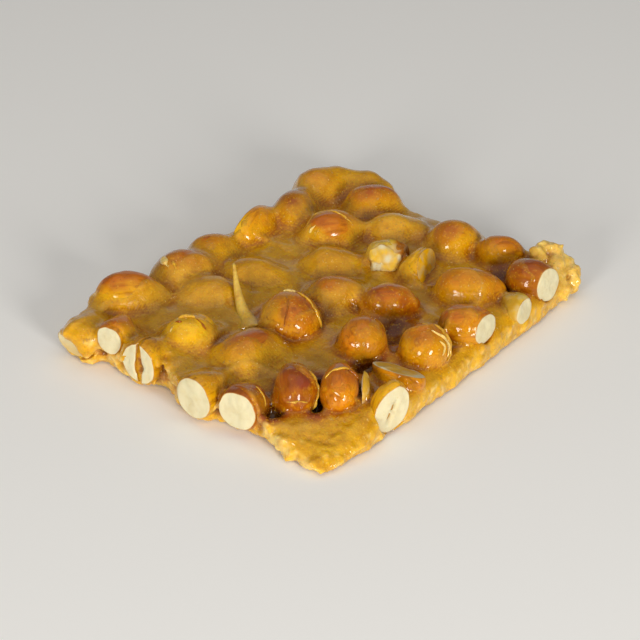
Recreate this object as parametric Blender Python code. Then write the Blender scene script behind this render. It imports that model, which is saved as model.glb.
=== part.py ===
"""A broken piece of peanut brittle, lying flat as it was poured.

One slab of set toffee holds roasted peanut kernels in sockets. Some kernels are whole, some
were snapped through with the slab's edge, and some are single halves (cotyledons).

Frame: +Z up, the origin under the middle of the piece on its flat bottom, +X along the longer
side. Layout numbers are in millimetres and degrees, and the model is built in metres.
"""

import math
from collections import namedtuple

import bmesh
import bpy
from mathutils import Matrix, Vector

MM = 0.001

# Driving dimensions, in millimetres.
HALF_LENGTH = 50.0
HALF_WIDTH = 40.5
VALLEY = 6.8  # level of the toffee between the kernels
RIM = 4.6  # level of the toffee at the broken edge
BASE_INSET = 0.6  # how far the foot of the edge is drawn in
BULGE = 2.4  # height of the widest ring of the edge
SOCKET_GAP = 0.35  # clearance between a kernel and its socket
SWEEP = 9.0  # how far a snapped kernel's section is cleared outwards
CLIMB = 1.8  # how far the toffee climbs a whole kernel past its middle
HALF_CLIMB = 0.6  # the same for a single half
CORNER_DIP = 2.2  # how far the thin near corner lies below the pool
RIGHT_LUMP = 3.2  # height of the crumbled lump on the right corner
BACK_LUMP = 3.0  # height of the bump by the far corner
SHARP_ANGLE = 50  # degrees: edges sharper than this are not shaded smooth

# Mesh resolution.
GRID_X, GRID_Y = 29, 24
KERNEL_SEGMENTS, KERNEL_RINGS = 8, 7

# The broken outline: each side's own coordinate at places along it.
LEFT_SIDE = [(-40, -48.5), (-36, -48), (-30, -48), (-20, -46.5), (-9, -46.5), (-5, -50), (1, -49),
             (10, -45), (15, -47.5), (20, -47.5), (27, -46), (31, -50), (38, -49), (40, -47)]
RIGHT_SIDE = [(-40, 48), (-36, 50), (-31, 50), (-26, 47), (-20, 45.5), (0, 45), (12, 46), (20, 48.5),
              (26, 49), (33, 47), (40, 42)]
FRONT_SIDE = [(-50, -38.5), (-45, -40), (-38, -40.5), (-17, -40.5), (5, -40), (22, -39.5), (30, -39.5),
              (40, -38.5), (50, -37)]
BACK_SIDE = [(-50, 37), (-44, 37.5), (-36, 40), (-29, 40.5), (-21, 38), (-10, 37), (0, 38), (10, 37.5),
             (20, 36.5), (30, 38), (38, 38), (44, 36), (50, 30)]

EGG = 0.14  # how much a kernel narrows towards its germ tip

# A snapped kernel keeps what lies behind a plane: the plane's outward normal has the heading
# yaw and the pitch, and stands off from the kernel's centre.
Cut = namedtuple("Cut", "yaw pitch off")
Kernel = namedtuple("Kernel", "name x y z length width height yaw tilt roll cut", defaults=(0, None))

KERNELS = [
    # The left end, snapped along a line of kernels.
    Kernel("cut_corner", -46.4, 33.0, 4.5, 13, 9.6, 7.2, 8, 0, 0, Cut(186, -12, 2.8)),
    Kernel("cut_small", -44.0, 24.0, 8.0, 11, 7.6, 7.6, 18, 0, 0, Cut(190, 8, 3.4)),
    Kernel("cut_slim", -46.8, -4.2, 5.9, 13, 9.4, 10.2, -4, 0, 0, Cut(183, 2, 2.9)),
    Kernel("cut_stout", -44.6, -14.4, 6.2, 11.4, 9.8, 9.6, 8, 6, 0, Cut(192, 4, 2.9)),
    # The front edge.
    Kernel("cut_upright", -24.8, -38.4, 6.0, 11.4, 8.0, 8.8, 8, 60, 0, Cut(-106, 2, 1.1)),
    Kernel("cut_far", 8.8, -34.2, 8.0, 14, 10.4, 9.8, -48, 3, 0, Cut(-86, 6, 4.0)),
    Kernel("cut_pale", 24.2, -36.9, 6.4, 10, 6.8, 6.6, -116, 0, 0, Cut(-84, 6, 2.0)),
    Kernel("cut_right", 34.8, -34.0, 7.6, 14, 10.4, 9.8, -72, 0, 0, Cut(-92, 8, 3.6)),
    # Whole kernels from the left end to the right, front to back.
    Kernel("whole_front_a", -34.6, -20.2, 7.8, 13.6, 9.6, 10.2, 41, 9),
    Kernel("whole_front_b", -28.6, -27.6, 7.8, 13, 8.6, 9.8, 36, 9),
    Kernel("whole_round", -10.6, -19.4, 7.6, 13, 10.6, 11.0, 27, 0),
    Kernel("whole_peeling", -4.2, -31.8, 7.8, 13, 11.0, 11.0, 32, 9),
    Kernel("whole_long", 21.8, -25.2, 7.8, 16, 10.2, 10.0, -50, 0),
    Kernel("whole_glossy", 5.2, -15.0, 7.6, 13, 9.8, 10.0, -50, 0),
    Kernel("whole_left", -33.3, 11.4, 7.2, 13, 11.0, 10.6, 2, 0),
    Kernel("whole_sunk", -29.2, -2.4, 6.6, 15, 10.0, 10.0, -3, 0),
    Kernel("whole_big_left", -30.4, 33.8, 8.0, 15, 10.4, 11.0, -40, 0),
    Kernel("whole_left_back", -13.2, 32.0, 7.2, 13, 10.0, 10.0, -36, 0),
    Kernel("whole_middle", 1.2, -2.2, 6.8, 13, 10.0, 10.0, -31, 0),
    Kernel("whole_right_small", 40.6, -20.6, 7.4, 11, 8.6, 8.8, -50, 0),
    Kernel("whole_right", 38.0, -8.8, 7.6, 12, 10.0, 10.0, -25, 0),
    Kernel("whole_right_low", 33.0, 6.0, 6.9, 12, 9.0, 8.6, -41, 0),
    Kernel("whole_back_red", 38.8, 17.2, 8.0, 14, 9.6, 10.0, -31, 0),
    Kernel("whole_back_mid", 21.8, 16.0, 7.8, 14, 10.6, 10.4, -34, 0),
    Kernel("whole_back_brown", 24.2, 30.2, 7.8, 14, 9.2, 10.0, 24, 5),
    Kernel("whole_back_tip", 37.0, 32.6, 7.6, 11, 9.2, 10.0, -35, 0),
    Kernel("whole_back_edge", -2.2, 33.4, 6.8, 11, 8.4, 8.4, -16, 0),
    Kernel("whole_flat_mid", 11.8, 7.4, 6.6, 12.6, 8.6, 8.0, -54, 0),
    Kernel("whole_low_a", -3.6, 19.4, 6.2, 11, 8.0, 7.6, -57, 0),
    Kernel("whole_low_b", -16.4, 20.6, 6.2, 12, 7.8, 7.6, -55, 0),
    # Single halves. The plane runs along the kernel, and its normal is the flat side's.
    Kernel("half_wide", -13.4, -0.4, 6.6, 17, 14.0, 13.4, 46, 6, 0, Cut(46, -86, 0.4)),
    Kernel("half_edge", -15.4, -33.6, 7.6, 13, 8.2, 8.6, -88, -6, 0, Cut(10, 66, 0.6)),
    Kernel("half_thin", -26.0, -30.6, 7.6, 9.6, 5.6, 8.0, 36, 24, 0, Cut(126, 0, -1.0)),
    Kernel("half_broken", 20.4, -1.8, 8.2, 10.4, 8.8, 9.2, -20, 0, 0, Cut(-140, 10, 2.6)),
    Kernel("half_fin", 22.6, -10.6, 7.8, 12, 8.4, 9.0, 11, 12, 0, Cut(-72, 20, 1.2)),
    Kernel("half_back", 11.4, 32.7, 7.6, 15.4, 8.4, 9.4, 9, 9, 0, Cut(100, 10, 1.6)),
]

# One snapped kernel has parted along its seam: two halves stand side by side.
SPLIT = Kernel("cut_split", -45.6, 13.8, 6.2, 11, 9.6, 10.4, 6, 0, 0, Cut(184, 0, 2.5))
SPLIT_GAP = 0.9

# A spike of toffee, drawn up as it was poured: its foot, its tip, and its radius at each end.
SPIKE_FOOT = Vector((-20.4, 4.6, 5.0))
SPIKE_TIP = Vector((-11.0, 18.6, 13.2))
SPIKE_RADII = (2.4, 0.35)
SPIKE_SIDES = 8

CREAM = (0.80, 0.66, 0.42, 1.0)
SKIN = (0.45, 0.17, 0.045, 1.0)
TOFFEE = (0.55, 0.30, 0.05, 1.0)


def clear_scene():
    for obj in list(bpy.data.objects):
        bpy.data.objects.remove(obj)


def material(name, colour, roughness):
    made = bpy.data.materials.new(name)
    made.use_nodes = True
    shader = made.node_tree.nodes["Principled BSDF"]
    shader.inputs["Base Color"].default_value = colour
    shader.inputs["Roughness"].default_value = roughness
    shader.inputs["Metallic"].default_value = 0.0
    return made


def add_object(name, bm, surface):
    mesh = bpy.data.meshes.new(name)
    bm.to_mesh(mesh)
    bm.free()
    mesh.materials.append(surface)
    obj = bpy.data.objects.new(name, mesh)
    bpy.context.scene.collection.objects.link(obj)
    return obj


def smoothstep(low, high, value):
    t = min(1.0, max(0.0, (value - low) / (high - low)))
    return t * t * (3 - 2 * t)


def direction(yaw, pitch):
    yaw, pitch = math.radians(yaw), math.radians(pitch)
    return Vector((math.cos(yaw) * math.cos(pitch), math.sin(yaw) * math.cos(pitch), math.sin(pitch)))


def placement(kernel):
    """Kernel frame to part frame: length along local X, turned by roll, then tilt, then yaw."""
    turn = (
        Matrix.Rotation(math.radians(kernel.yaw), 4, "Z")
        @ Matrix.Rotation(math.radians(-kernel.tilt), 4, "Y")
        @ Matrix.Rotation(math.radians(kernel.roll), 4, "X")
    )
    return Matrix.Translation((kernel.x, kernel.y, kernel.z)) @ turn


def kernel_body(kernel, grow=0.0):
    """An egg-shaped ellipsoid in millimetres: a turned sphere whose rings shrink towards the tip."""
    bm = bmesh.new()
    bmesh.ops.create_uvsphere(bm, u_segments=KERNEL_SEGMENTS, v_segments=KERNEL_RINGS, radius=1.0)
    bmesh.ops.rotate(bm, verts=bm.verts, matrix=Matrix.Rotation(math.pi / 2, 3, "Y"))
    half = Vector((kernel.length, kernel.width, kernel.height)) / 2 + Vector((grow, grow, grow))
    for vert in bm.verts:
        taper = 1 - EGG * vert.co.x
        vert.co = Vector((vert.co.x * half.x, vert.co.y * half.y * taper, vert.co.z * half.z * taper))
    bm.transform(placement(kernel))
    return bm


def keep_behind(bm, point, normal):
    """Cuts off what lies beyond the plane and closes the section. Returns the section's face."""
    geometry = bm.verts[:] + bm.edges[:] + bm.faces[:]
    result = bmesh.ops.bisect_plane(bm, geom=geometry, plane_co=point, plane_no=normal, clear_outer=True)
    rim = [item for item in result["geom_cut"] if isinstance(item, bmesh.types.BMEdge)]
    return bmesh.ops.contextual_create(bm, geom=rim)["faces"][0]


def cut_plane(kernel):
    normal = direction(kernel.cut.yaw, kernel.cut.pitch)
    return Vector((kernel.x, kernel.y, kernel.z)) + normal * kernel.cut.off, normal


def to_metres(bm):
    bm.normal_update()
    bmesh.ops.scale(bm, verts=bm.verts, vec=(MM, MM, MM))
    return bm


def add_kernel(kernel, surface):
    bm = kernel_body(kernel)
    if kernel.cut:
        keep_behind(bm, *cut_plane(kernel))
    obj = add_object("nut_" + kernel.name, to_metres(bm), surface)
    obj.data.shade_smooth()
    obj.data.set_sharp_from_angle(angle=math.radians(SHARP_ANGLE))
    return obj


def add_split_kernel(surface):
    """The snapped kernel that parted along its seam, as two closed halves."""
    across = direction(SPLIT.yaw + 90, 0)
    centre = Vector((SPLIT.x, SPLIT.y, SPLIT.z))
    for label, side in (("a", 1), ("b", -1)):
        bm = kernel_body(SPLIT)
        keep_behind(bm, *cut_plane(SPLIT))
        keep_behind(bm, centre + across * side * SPLIT_GAP / 2, -across * side)
        obj = add_object(f"nut_{SPLIT.name}_{label}", to_metres(bm), surface)
        obj.data.shade_smooth()
        obj.data.set_sharp_from_angle(angle=math.radians(SHARP_ANGLE))


def add_socket(slab, kernel, surface):
    """Cuts the kernel's socket. A snapped kernel's section is swept outwards, so that its face is bare."""
    bm = kernel_body(kernel, SOCKET_GAP)
    if kernel.cut and kernel.name.startswith("cut"):
        point, normal = cut_plane(kernel)
        section = keep_behind(bm, point, normal)
        swept = bmesh.ops.extrude_face_region(bm, geom=[section])
        moved = [item for item in swept["geom"] if isinstance(item, bmesh.types.BMVert)]
        bmesh.ops.translate(bm, verts=moved, vec=normal * SWEEP)
        bmesh.ops.delete(bm, geom=[section], context="FACES_ONLY")
        bmesh.ops.recalc_face_normals(bm, faces=bm.faces)
    cutter = add_object("socket_" + kernel.name, to_metres(bm), surface)
    cutter.hide_render = True
    cutter.display_type = "WIRE"
    cut = slab.modifiers.new(cutter.name, "BOOLEAN")
    cut.operation = "DIFFERENCE"
    cut.object = cutter


def side_at(side, place):
    """A side's own coordinate at a place along it, eased from one break of the edge to the next."""
    for (start, low), (end, high) in zip(side, side[1:]):
        if place <= end:
            return low + (high - low) * smoothstep(start, end, place)
    return side[-1][1]


def ground(u, v):
    """Grid place, from -1 to 1 each way, to plan position in millimetres."""
    x, y = u * HALF_LENGTH, v * HALF_WIDTH
    left, right = side_at(LEFT_SIDE, y), side_at(RIGHT_SIDE, y)
    front, back = side_at(FRONT_SIDE, x), side_at(BACK_SIDE, x)
    return (
        x + (left + HALF_LENGTH) * max(-u, 0) ** 3 + (right - HALF_LENGTH) * max(u, 0) ** 3,
        y + (front + HALF_WIDTH) * max(-v, 0) ** 3 + (back - HALF_WIDTH) * max(v, 0) ** 3,
    )


def mound(kernel, x, y):
    """How high the toffee climbs the kernel at a place, as a level in millimetres."""
    yaw = math.radians(kernel.yaw)
    along = (x - kernel.x) * math.cos(yaw) + (y - kernel.y) * math.sin(yaw)
    across = -(x - kernel.x) * math.sin(yaw) + (y - kernel.y) * math.cos(yaw)
    run = kernel.length / 2 * abs(math.cos(math.radians(kernel.tilt))) + 1
    reach = math.hypot(along / run, across / (kernel.width / 2))
    climb = HALF_CLIMB if kernel.name.startswith("half") else CLIMB
    return max(0, kernel.z - VALLEY + climb) * smoothstep(1.75, 0.95, reach)


def top_level(u, v, x, y):
    """Height of the slab's upper surface: pooled toffee, a mound at each kernel, a thin rim."""
    pool = 0.45 * math.sin(0.16 * x + 1.1) * math.sin(0.19 * y) + 0.25 * math.sin(0.41 * x - 0.33 * y)
    near_corner = smoothstep(24, 2, math.hypot(x + HALF_LENGTH, y + HALF_WIDTH))
    right_corner = smoothstep(14, 4, math.hypot(x - HALF_LENGTH, y + HALF_WIDTH - 8))
    back_lump = smoothstep(9, 1, math.hypot(x - 45, y - 27))
    climb = max(mound(kernel, x, y) for kernel in KERNELS)
    level = VALLEY + pool + climb
    rim = smoothstep(0.9, 1.0, max(abs(u), abs(v)))
    level += (RIM - level) * 0.75 * rim
    return level - CORNER_DIP * near_corner + RIGHT_LUMP * right_corner + BACK_LUMP * back_lump


def add_spike(slab, surface):
    """Joins the drawn-up spike to the slab: a thin cone that leans with its own axis."""
    axis = SPIKE_TIP - SPIKE_FOOT
    bm = bmesh.new()
    bmesh.ops.create_cone(bm, cap_ends=True, segments=SPIKE_SIDES, radius1=SPIKE_RADII[0],
                          radius2=SPIKE_RADII[1], depth=axis.length)
    lean = axis.to_track_quat("Z", "Y").to_matrix().to_4x4()
    bm.transform(Matrix.Translation((SPIKE_FOOT + SPIKE_TIP) / 2) @ lean)
    spike = add_object("spike", to_metres(bm), surface)
    spike.hide_render = True
    spike.display_type = "WIRE"
    join = slab.modifiers.new("spike", "BOOLEAN")
    join.operation = "UNION"
    join.object = spike


def add_slab(surface):
    """The toffee: a warped grid for the top, pulled down at its border to a flat bottom."""
    bm = bmesh.new()
    bmesh.ops.create_grid(bm, x_segments=GRID_X, y_segments=GRID_Y, size=1.0)
    border = [edge for edge in bm.edges if edge.is_boundary]
    for vert in bm.verts:
        u, v = vert.co.x, vert.co.y
        x, y = ground(u, v)
        vert.co = Vector((x, y, top_level(u, v, x, y)))
    for level, scale in ((BULGE, 1.0), (0.0, 1 - BASE_INSET / HALF_WIDTH)):
        ring = bmesh.ops.extrude_edge_only(bm, edges=border)["geom"]
        for vert in [item for item in ring if isinstance(item, bmesh.types.BMVert)]:
            vert.co = Vector((vert.co.x * scale, vert.co.y * scale, level))
        border = [item for item in ring if isinstance(item, bmesh.types.BMEdge) and item.is_boundary]
    bmesh.ops.contextual_create(bm, geom=border)
    bmesh.ops.recalc_face_normals(bm, faces=bm.faces)
    slab = add_object("toffee_slab", to_metres(bm), surface)
    add_spike(slab, surface)
    for kernel in KERNELS + [SPLIT]:
        add_socket(slab, kernel, surface)


def main():
    clear_scene()
    toffee = material("toffee", TOFFEE, 0.2)
    skin = material("nut_skin", SKIN, 0.3)
    flesh = material("nut_flesh", CREAM, 0.6)
    add_slab(toffee)
    for kernel in KERNELS:
        add_kernel(kernel, flesh if kernel.cut else skin)
    add_split_kernel(flesh)


main()
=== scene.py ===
"""The looks of a broken piece of peanut brittle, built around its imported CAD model.

The toffee is one surface, drawn round a distance field on a fine grid: a poured slab that
climbs the kernels with a meniscus, with broken crumbly sides. The kernels are meshes of their
own that stand out of it. Layout is in millimetres, and meshes are scaled to metres when made.
"""

import math
from collections import namedtuple

import bmesh
import bpy
import numpy as np
from mathutils import Matrix, Vector


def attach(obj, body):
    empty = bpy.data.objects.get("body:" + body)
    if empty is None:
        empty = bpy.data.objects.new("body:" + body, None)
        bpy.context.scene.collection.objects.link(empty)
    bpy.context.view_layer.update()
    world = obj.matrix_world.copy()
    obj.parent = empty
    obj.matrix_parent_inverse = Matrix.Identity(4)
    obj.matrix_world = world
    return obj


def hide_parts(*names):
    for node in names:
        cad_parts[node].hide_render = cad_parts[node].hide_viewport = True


MM = 0.001

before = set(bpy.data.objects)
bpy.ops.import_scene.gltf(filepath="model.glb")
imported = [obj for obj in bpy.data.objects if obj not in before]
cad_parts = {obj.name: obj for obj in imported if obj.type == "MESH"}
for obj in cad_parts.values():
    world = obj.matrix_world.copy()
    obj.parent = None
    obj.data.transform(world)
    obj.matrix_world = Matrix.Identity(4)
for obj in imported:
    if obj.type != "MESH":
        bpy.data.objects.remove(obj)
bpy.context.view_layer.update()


# ---------------------------------------------------------------------------------------------
# Layout. The kernels and the outline are the CAD's own design values, in millimetres and
# degrees.

HALF_LENGTH = 50.0
HALF_WIDTH = 40.5
VALLEY = 6.8
EGG = 0.14
SPLIT_GAP = 0.9

Cut = namedtuple("Cut", "yaw pitch off")
Kernel = namedtuple("Kernel", "name x y z length width height yaw tilt cut", defaults=(0, None))

KERNELS = [
    # The left end, snapped along a line of kernels.
    Kernel("cut_corner", -46.4, 33.0, 4.5, 13, 9.6, 7.2, 8, cut=Cut(186, -12, 2.8)),
    Kernel("cut_small", -44.0, 24.0, 8.0, 11, 7.6, 7.6, 18, cut=Cut(190, 8, 3.4)),
    Kernel("cut_slim", -46.8, -4.2, 5.9, 13, 9.4, 10.2, -4, cut=Cut(183, 2, 2.9)),
    Kernel("cut_stout", -44.6, -14.4, 6.2, 11.4, 9.8, 9.6, 8, 6, cut=Cut(192, 4, 2.9)),
    # The front edge.
    Kernel("cut_upright", -24.8, -38.4, 6.0, 11.4, 8.0, 8.8, 8, 60, cut=Cut(-106, 2, 1.1)),
    Kernel("cut_far", 8.8, -34.2, 8.0, 14, 10.4, 9.8, -48, 3, cut=Cut(-86, 6, 4.0)),
    Kernel("cut_pale", 24.2, -36.9, 6.4, 10, 6.8, 6.6, -116, cut=Cut(-84, 6, 2.0)),
    Kernel("cut_right", 34.8, -34.0, 7.6, 14, 10.4, 9.8, -72, cut=Cut(-92, 8, 3.6)),
    # Whole kernels.
    Kernel("whole_front_a", -34.6, -20.2, 7.8, 13.6, 9.6, 10.2, 41, 9),
    Kernel("whole_front_b", -28.6, -27.6, 7.8, 13, 8.6, 9.8, 36, 9),
    Kernel("whole_round", -10.6, -19.4, 7.6, 13, 10.6, 11.0, 27),
    Kernel("whole_peeling", -4.2, -31.8, 7.8, 13, 11.0, 11.0, 32, 9),
    Kernel("whole_long", 21.8, -25.2, 7.8, 16, 10.2, 10.0, -50),
    Kernel("whole_glossy", 5.2, -15.0, 7.6, 13, 9.8, 10.0, -50),
    Kernel("whole_left", -33.3, 11.4, 7.2, 13, 11.0, 10.6, 2),
    Kernel("whole_sunk", -29.2, -2.4, 6.6, 15, 10.0, 10.0, -3),
    Kernel("whole_big_left", -30.4, 33.8, 8.0, 15, 10.4, 11.0, -40),
    Kernel("whole_left_back", -13.2, 32.0, 7.2, 13, 10.0, 10.0, -36),
    Kernel("whole_middle", 1.2, -2.2, 6.8, 13, 10.0, 10.0, -31),
    Kernel("whole_right_small", 40.6, -20.6, 7.4, 11, 8.6, 8.8, -50),
    Kernel("whole_right", 38.0, -8.8, 7.6, 12, 10.0, 10.0, -25),
    Kernel("whole_right_low", 33.0, 6.0, 6.9, 12, 9.0, 8.6, -41),
    Kernel("whole_back_red", 38.8, 17.2, 8.0, 14, 9.6, 10.0, -31),
    Kernel("whole_back_mid", 21.8, 16.0, 7.8, 14, 10.6, 10.4, -34),
    Kernel("whole_back_brown", 24.2, 30.2, 7.8, 14, 9.2, 10.0, 24, 5),
    Kernel("whole_back_tip", 37.0, 32.6, 7.6, 11, 9.2, 10.0, -35),
    Kernel("whole_back_edge", -2.2, 33.4, 6.8, 11, 8.4, 8.4, -16),
    Kernel("whole_flat_mid", 11.8, 7.4, 6.6, 12.6, 8.6, 8.0, -54),
    Kernel("whole_low_a", -3.6, 19.4, 6.2, 11, 8.0, 7.6, -57),
    Kernel("whole_low_b", -16.4, 20.6, 6.2, 12, 7.8, 7.6, -55),
    # Single halves.
    Kernel("half_wide", -13.4, -0.4, 6.6, 17, 14.0, 13.4, 46, 6, cut=Cut(46, -86, 0.4)),
    Kernel("half_edge", -15.4, -33.6, 7.6, 13, 8.2, 8.6, -88, -6, cut=Cut(10, 66, 0.6)),
    Kernel("half_thin", -26.0, -30.6, 7.6, 9.6, 5.6, 8.0, 36, 24, cut=Cut(126, 0, -1.0)),
    Kernel("half_broken", 20.4, -1.8, 8.2, 10.4, 8.8, 9.2, -20, cut=Cut(-140, 10, 2.6)),
    Kernel("half_fin", 22.6, -10.6, 7.8, 12, 8.4, 9.0, 11, 12, cut=Cut(-72, 20, 1.2)),
    Kernel("half_back", 11.4, 32.7, 7.6, 15.4, 8.4, 9.4, 9, 9, cut=Cut(100, 10, 1.6)),
]
SPLIT = Kernel("cut_split", -45.6, 13.8, 6.2, 11, 9.6, 10.4, 6, cut=Cut(184, 0, 2.5))

LEFT_SIDE = [(-40, -48.5), (-36, -48), (-30, -48), (-20, -46.5), (-9, -46.5), (-5, -50), (1, -49),
             (10, -45), (15, -47.5), (20, -47.5), (27, -46), (31, -50), (38, -49), (40, -47)]
RIGHT_SIDE = [(-40, 48), (-36, 50), (-31, 50), (-26, 47), (-20, 45.5), (0, 45), (12, 46), (20, 48.5),
              (26, 49), (33, 47), (40, 42)]
FRONT_SIDE = [(-50, -38.5), (-45, -40), (-38, -40.5), (-17, -40.5), (5, -40), (22, -39.5), (30, -39.5),
              (40, -38.5), (50, -37)]
BACK_SIDE = [(-50, 37), (-44, 37.5), (-36, 40), (-29, 40.5), (-21, 38), (-10, 37), (0, 38), (10, 37.5),
             (20, 36.5), (30, 38), (38, 38), (44, 36), (50, 30)]

# How each kernel is covered: the toffee's film over it, and the width of the meniscus round it,
# both in millimetres (a negative film leaves the kernel's top bare of the slab's surface), its
# skin's colour, how far its flanks turn to gold and take painted glow, and whether its broken
# face is bare flesh.
Look = namedtuple("Look", "film meniscus skin flank bare", defaults=(0.6, True))
LOOKS = {
    "cut_corner": Look(0.4, 2.5, "gold", 0.8),
    "cut_small": Look(0.15, 2.4, "brown", 0.7),
    "cut_slim": Look(0.05, 2.4, "tan", 0.8),
    "cut_stout": Look(-0.08, 1.6, "dark", 0.1),
    "cut_upright": Look(-0.12, 0.9, "gold", 0.5),
    "cut_far": Look(-0.08, 1.8, "amber", 0.5),
    "cut_pale": Look(-0.15, 0.9, "bald", 0.0),
    "cut_right": Look(-0.10, 1.4, "dark", 0.2),
    "cut_split": Look(0.1, 2.4, "tan", 0.8),
    "whole_front_a": Look(-0.10, 1.4, "dark", 0.1),
    "whole_front_b": Look(-0.10, 1.3, "brown", 0.2),
    "whole_round": Look(-0.10, 1.8, "pink", 0.3),
    "whole_peeling": Look(-0.08, 1.6, "brown", 0.6),
    "whole_long": Look(0.0, 2.6, "amber", 0.5),
    "whole_glossy": Look(-0.12, 1.6, "amber", 0.2),
    "whole_left": Look(0.0, 3.2, "gold", 0.5),
    "whole_sunk": Look(0.15, 4.6, "red", 1.0),
    "whole_big_left": Look(0.1, 4.4, "brown", 1.0),
    "whole_left_back": Look(0.2, 4.8, "brown", 0.9),
    "whole_middle": Look(0.12, 4.6, "brown", 0.9),
    "whole_right_small": Look(0.0, 2.2, "amber", 0.5),
    "whole_right": Look(0.08, 4.0, "brown", 0.8),
    "whole_right_low": Look(0.35, 3.6, "gold", 0.9),
    "whole_back_red": Look(0.05, 3.6, "red", 0.7),
    "whole_back_mid": Look(0.1, 4.2, "amber", 0.9),
    "whole_back_brown": Look(0.15, 4.4, "dark", 0.5),
    "whole_back_tip": Look(0.25, 4.6, "brown", 0.8),
    "whole_back_edge": Look(0.35, 4.2, "brown", 0.8),
    "whole_flat_mid": Look(0.30, 4.0, "tan", 0.9),
    "whole_low_a": Look(0.45, 3.6, "tan", 0.6),
    "whole_low_b": Look(0.35, 3.6, "tan", 0.6),
    "half_wide": Look(-0.12, 1.2, "brown", 0.5, False),
    "half_edge": Look(-0.12, 1.0, "amber", 0.4),
    "half_thin": Look(-0.15, 0.7, "bald", 0.0),
    "half_broken": Look(-0.15, 2.0, "bald", 0.0),
    "half_fin": Look(-0.05, 2.2, "gold", 0.8, False),
    "half_back": Look(0.05, 2.2, "honey", 0.6, False),
}

# Colours, as sRGB from 0 to 255.
SKINS = {
    "brown": (186, 100, 5),
    "dark": (157, 76, 4),
    "red": (174, 90, 10),
    "amber": (191, 105, 2),
    "pink": (187, 111, 18),
    "gold": (229, 170, 16),
    "honey": (224, 147, 2),
    "tan": (193, 132, 10),
    "bald": (218, 176, 58),
}
# Gold of the toffee-covered flanks, also used as painted glow of light through the toffee.
FLANK_GOLD_AND_GLOW = (218, 160, 8)
TOFFEE = (213, 160, 10)
TOFFEE_DEEP = (172, 114, 3)
TOFFEE_PALE = (232, 178, 20)
SIDE = (226, 176, 46)
GLOW = (228, 170, 24)
# Painted sheen on the toffee's upper surfaces.
PAINTED_SHEEN = (192, 146, 66)
CRUMB = (240, 208, 122)
# Painted shade: near black in creases and hollows, red-brown round them.
SHADE_DEEP = (58, 16, 1)
SHADE_RED = (150, 68, 4)
CREAM = (214, 204, 168)
CREAM_SHADE = (204, 188, 144)
STAINED = (214, 168, 66)
RIM_SKIN = (176, 122, 40)
FLECK = (110, 54, 4)
VEIN, VEIN_GOLD = (128, 62, 4), (214, 146, 14)
PORE, PORE_PALE = (96, 42, 4), (226, 170, 60)
FLESH_FLECK = (206, 178, 116)

# Crumbled lumps of the right corner: centre and radius.
CORNER_LUMPS = [
    (42.6, -29.8, 9.0, 2.3), (45.6, -30.0, 9.8, 2.3), (47.0, -31.6, 9.2, 2.2), (47.6, -33.6, 6.8, 2.3),
    (47.4, -36.0, 4.6, 2.3), (45.4, -37.0, 3.0, 2.4), (42.4, -37.0, 3.0, 2.4), (44.6, -33.2, 8.0, 2.0),
    (39.4, -30.8, 8.4, 1.8),
]

# Rounded mounds of toffee along the far corner: centre and radius.
BACK_MOUNDS = [
    (42.4, 31.6, 9.2, 2.5), (44.2, 28.0, 8.6, 2.6), (46.6, 24.4, 8.6, 2.6), (46.8, 20.2, 7.4, 2.4),
]

# Loose edges of skin and film on a kernel: places on it by yaw and pitch, width and height of the
# edge in millimetres, and its colour.
Ribbon = namedtuple("Ribbon", "path width height colour")
PALE, HONEY_EDGE, FLAKE = (230, 198, 116), (214, 164, 48), (152, 82, 12)
RIBBONS = {
    "whole_peeling": [
        Ribbon([(65, 75), (-30, 55), (-50, 20), (-65, -5), (-85, -15)], 0.9, 0.5, HONEY_EDGE),
        Ribbon([(-100, 70), (-75, 50), (-70, 20), (-90, 0)], 0.6, 0.45, PALE),
        Ribbon([(-100, 40), (-95, 25), (-105, 10)], 0.4, 0.3, PALE),
    ],
    "whole_front_a": [
        Ribbon([(-40, 55), (-60, 25), (-70, 5), (-95, -5), (-105, -25)], 0.6, 0.5, HONEY_EDGE),
        Ribbon([(-155, 5), (-135, 10), (-120, 0)], 0.4, 0.35, HONEY_EDGE),
    ],
    "whole_front_b": [
        Ribbon([(150, 45), (130, 75), (-30, 65)], 0.6, 0.5, HONEY_EDGE),
        Ribbon([(-30, 65), (-45, 40), (-50, 25)], 1.2, 0.5, FLAKE),
    ],
    "half_wide": [
        Ribbon([(10, 65), (-60, 45), (-80, 15), (-70, -10), (-80, -20), (-105, -40),
               (-145, -45)], 0.9, 0.5, HONEY_EDGE),
        Ribbon([(70, 65), (10, 65)], 1.0, 0.6, PALE),
        Ribbon([(115, 85), (-145, 55), (-145, 20)], 0.3, 0.15, FLAKE),
    ],
    "whole_left": [
        Ribbon([(125, 60), (120, 80), (-75, 80)], 0.8, 0.5, HONEY_EDGE),
        Ribbon([(-90, 75), (-85, 55), (-85, 40)], 0.5, 0.35, FLAKE),
        Ribbon([(165, 40), (170, 25)], 0.5, 0.35, PALE),
        Ribbon([(155, 50), (175, 60)], 0.9, 0.35, FLAKE),
    ],
    "whole_left_back": [
        Ribbon([(130, 35), (175, 30)], 1.0, 0.6, PALE),
        Ribbon([(175, 45), (-165, 30)], 0.8, 0.5, HONEY_EDGE),
        Ribbon([(-140, 40), (-105, 15), (-85, -15)], 0.4, 0.3, HONEY_EDGE),
    ],
    "whole_back_mid": [
        Ribbon([(145, 20), (125, 40), (90, 60), (20, 75), (-55, 60), (-75, 5)], 0.5, 0.4, HONEY_EDGE),
        Ribbon([(165, 35), (160, 0)], 0.5, 0.4, PALE),
        Ribbon([(180, 35), (175, 0)], 0.4, 0.3, HONEY_EDGE),
    ],
    "cut_stout": [Ribbon([(-35, 60), (-55, 30), (-75, 10)], 0.4, 0.3, HONEY_EDGE)],
}

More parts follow.
